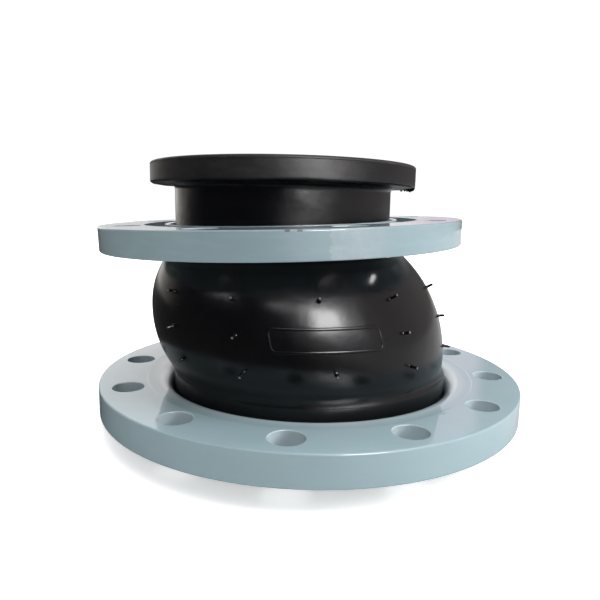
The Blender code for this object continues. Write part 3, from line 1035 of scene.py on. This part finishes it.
def floor():
    """A wide pale sheet under the object, which fades into the white behind it; in reflections a dark sheet
    with a painted glow.
    """
    size = 6.0
    mesh = bpy.data.meshes.new("floor")
    corners = [(-size, -size, 0), (size, -size, 0), (size, size, 0), (-size, size, 0)]
    mesh.from_pydata([(x, y, cad_box[0].z) for x, y, _ in corners], [], [(0, 1, 2, 3)])
    shade = Shade("floor_sheet")
    spot = shade.node("ShaderNodeNewGeometry", {}, {}, "Position")
    distance = shade.node("ShaderNodeVectorMath", {"operation": "LENGTH"}, {0: spot}, "Value")
    across = shade.node("ShaderNodeSeparateXYZ", {}, {0: spot}, 0)
    mirrored = shade.node("ShaderNodeLightPath", {}, {}, "Is Glossy Ray")
    by_camera = shade.node("ShaderNodeLightPath", {}, {}, "Is Camera Ray")
    # painted reflection: in the object's gloss the floor turns dark and glows, faintly on the left and
    # brighter to the right
    glow = shade.math("MULTIPLY", shade.between(across, -0.02, 0.30, 0.04, 0.75), mirrored)
    fade = shade.math("MULTIPLY", shade.between(distance, 0.13, 0.26, 0.5, 1.0), by_camera)
    glow = shade.math("ADD", glow, fade)
    shade.set(base_color=shade.mix(mirrored, (0.90, 0.90, 0.90), (0.02, 0.02, 0.02)), roughness=0.9)
    shade.set(specular_ior_level=0.0, emission_color=(1.0, 1.0, 1.0), emission_strength=glow)
    mesh.materials.append(shade.material)
    sheet = bpy.data.objects.new("floor", mesh)
    bpy.context.scene.collection.objects.link(sheet)


def direction(azimuth_deg, elevation_deg):
    azimuth, elevation = math.radians(azimuth_deg), math.radians(elevation_deg)
    level = math.cos(elevation)
    return Vector((math.cos(azimuth) * level, math.sin(azimuth) * level, math.sin(elevation)))


def softbox(name, azimuth_deg, elevation_deg, distance, width, height, power, colour=(1, 1, 1)):
    """A rectangular lamp on a sphere about the arch, facing it."""
    target = Vector((0, 0, 0.09))
    away = direction(azimuth_deg, elevation_deg)
    lamp = bpy.data.lights.new(name, "AREA")
    lamp.shape = "RECTANGLE"
    lamp.size, lamp.size_y, lamp.energy, lamp.color = width, height, power, colour
    holder = bpy.data.objects.new(name, lamp)
    holder.location = target + away * distance
    holder.rotation_euler = away.to_track_quat("Z", "Y").to_euler()
    bpy.context.scene.collection.objects.link(holder)
    return holder


AMBIENT = (0.30, 0.75)  # the light's strength from the left and from the right
ROOM = (  # azimuth in degrees and the colour the room shows there in the object's gloss
    (-180, (0.04, 0.04, 0.05)),
    (-94, (0.06, 0.06, 0.09)),
    (-56, (1.60, 1.50, 1.60)),
    (-30, (0.75, 0.68, 0.68)),
    (20, (0.55, 0.50, 0.48)),
    (70.6, (0.12, 0.12, 0.12)),
    (71.8, (0.85, 0.66, 0.76)),
    (77, (0.90, 0.78, 0.88)),
    (84, (2.00, 1.95, 1.95)),
    (97, (1.90, 1.85, 1.85)),
    (103, (1.55, 1.50, 1.50)),
    (112, (1.55, 1.50, 1.50)),
    (128, (1.30, 1.24, 1.18)),
    (150, (0.60, 0.56, 0.52)),
    (165, (0.12, 0.11, 0.11)),
    (180, (0.04, 0.04, 0.05)),
)


def world():
    """White for the camera; the room's colours in reflections; a soft glow from the right as light."""
    made = bpy.data.worlds.new("studio")
    bpy.context.scene.world = made
    made.use_nodes = True
    tree = made.node_tree

    def add(kind, inputs, **settings):
        node = tree.nodes.new(kind)
        for key, value in settings.items():
            setattr(node, key, value)
        for key, value in inputs.items():
            if isinstance(value, bpy.types.NodeSocket):
                tree.links.new(value, node.inputs[key])
            else:
                node.inputs[key].default_value = value
        return node

    where = add("ShaderNodeTexCoord", {}).outputs["Generated"]
    x, y, z = add("ShaderNodeSeparateXYZ", {0: where}).outputs
    turn = add("ShaderNodeMath", {0: y, 1: x}, operation="ARCTAN2").outputs[0]
    share = add("ShaderNodeMapRange", {0: turn, 1: -math.pi, 2: math.pi}).outputs[0]
    ramp = add("ShaderNodeValToRGB", {0: share})
    stops = ramp.color_ramp.elements
    while len(stops) < len(ROOM):
        stops.new(0.5)
    for stop, (azimuth, colour) in zip(stops, ROOM):
        stop.position = azimuth / 360 + 0.5
        stop.color = (*colour, 1.0)
    level = add("ShaderNodeMapRange", {0: z, 1: 0.08, 2: 0.24, 3: 0.55, 4: 0.0}).outputs[0]
    behind = add("ShaderNodeMapRange", {0: y, 1: 0.1, 2: 0.5}).outputs[0]
    rightwards = add("ShaderNodeMapRange", {0: x, 1: -0.55, 2: -0.35}).outputs[0]
    leftwards = add("ShaderNodeMapRange", {0: x, 1: 0.10, 2: 0.25, 3: 1.0, 4: 0.35}).outputs[0]
    across = add("ShaderNodeMath", {0: leftwards, 1: rightwards}, operation="MULTIPLY").outputs[0]
    there = add("ShaderNodeMath", {0: behind, 1: across}, operation="MULTIPLY").outputs[0]
    dim = add("ShaderNodeMath", {0: level, 1: there}, operation="MULTIPLY").outputs[0]
    room = add("ShaderNodeMix", {0: dim, 6: ramp.outputs[0], 7: (0, 0, 0, 1)}, data_type="RGBA").outputs[2]
    glow = add("ShaderNodeMapRange", {0: x, 1: -1.0, 2: 1.0, 3: AMBIENT[0], 4: AMBIENT[1]}).outputs[0]
    path = add("ShaderNodeLightPath", {}).outputs
    lit = add("ShaderNodeMix", {0: path["Is Glossy Ray"], 6: glow, 7: room}, data_type="RGBA").outputs[2]
    backdrop = {0: path["Is Camera Ray"], 6: lit, 7: (1.05, 1.05, 1.05, 1)}
    seen = add("ShaderNodeMix", backdrop, data_type="RGBA")
    tree.links.new(seen.outputs[2], tree.nodes["Background"].inputs["Color"])


def glint():
    """A small lamp close above the arch, as if a bolt hole in the upper flange let the light through."""
    spot, _ = on_wall(-55, 0.1225)
    away = direction(11.5, 43)
    lamp = bpy.data.lights.new("glint", "AREA")
    lamp.shape = "ELLIPSE"
    lamp.size, lamp.size_y, lamp.energy = 0.009, 0.004, 0.0012
    holder = bpy.data.objects.new("glint", lamp)
    holder.location = spot + away * 0.016
    holder.rotation_euler = away.to_track_quat("Z", "Y").to_euler()
    holder.visible_diffuse = False
    holder.visible_camera = False
    bpy.context.scene.collection.objects.link(holder)


def camera():
    """The reference viewpoint: a little above the upper flange, looking down on the lower one."""
    pitch, roll = math.radians(9.348), math.radians(1.095)
    forward = Vector((0, math.cos(pitch), -math.sin(pitch)))
    right = Vector((1, 0, 0))
    up = right.cross(forward)
    level_right = right * math.cos(roll) + up * math.sin(roll)
    level_up = up * math.cos(roll) - right * math.sin(roll)
    lens = bpy.data.cameras.new("camera")
    lens.lens, lens.sensor_width = 32.76, 36.0
    lens.clip_start = 0.01
    eye = bpy.data.objects.new("camera", lens)
    lower_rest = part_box("lower_flange")[0].z
    eye.matrix_world = Matrix.Translation((-0.00843, -0.44137, 0.15079 + lower_rest)) @ Matrix(
        (level_right, level_up, -forward)
    ).transposed().to_4x4()
    bpy.context.scene.collection.objects.link(eye)
    bpy.context.scene.camera = eye


floor()
world()
softbox("window", -65, 22, 1.2, 0.42, 0.40, 13.0).visible_diffuse = False
softbox("window_glow", -60, 23, 1.3, 0.95, 0.75, 5.0).visible_diffuse = False
softbox("blind", -92, 31, 1.25, 0.60, 0.06, 0.9).visible_diffuse = False
softbox("right_side", -8, 23, 1.6, 0.8, 0.6, 22.5).visible_glossy = False
softbox("ceiling", -90, 80, 1.8, 1.6, 1.6, 22.0).visible_glossy = False
softbox("left_strip", -148, 28, 1.2, 0.45, 0.07, 0.6).visible_diffuse = False
glint()
camera()
bpy.context.scene.view_settings.view_transform = "Standard"
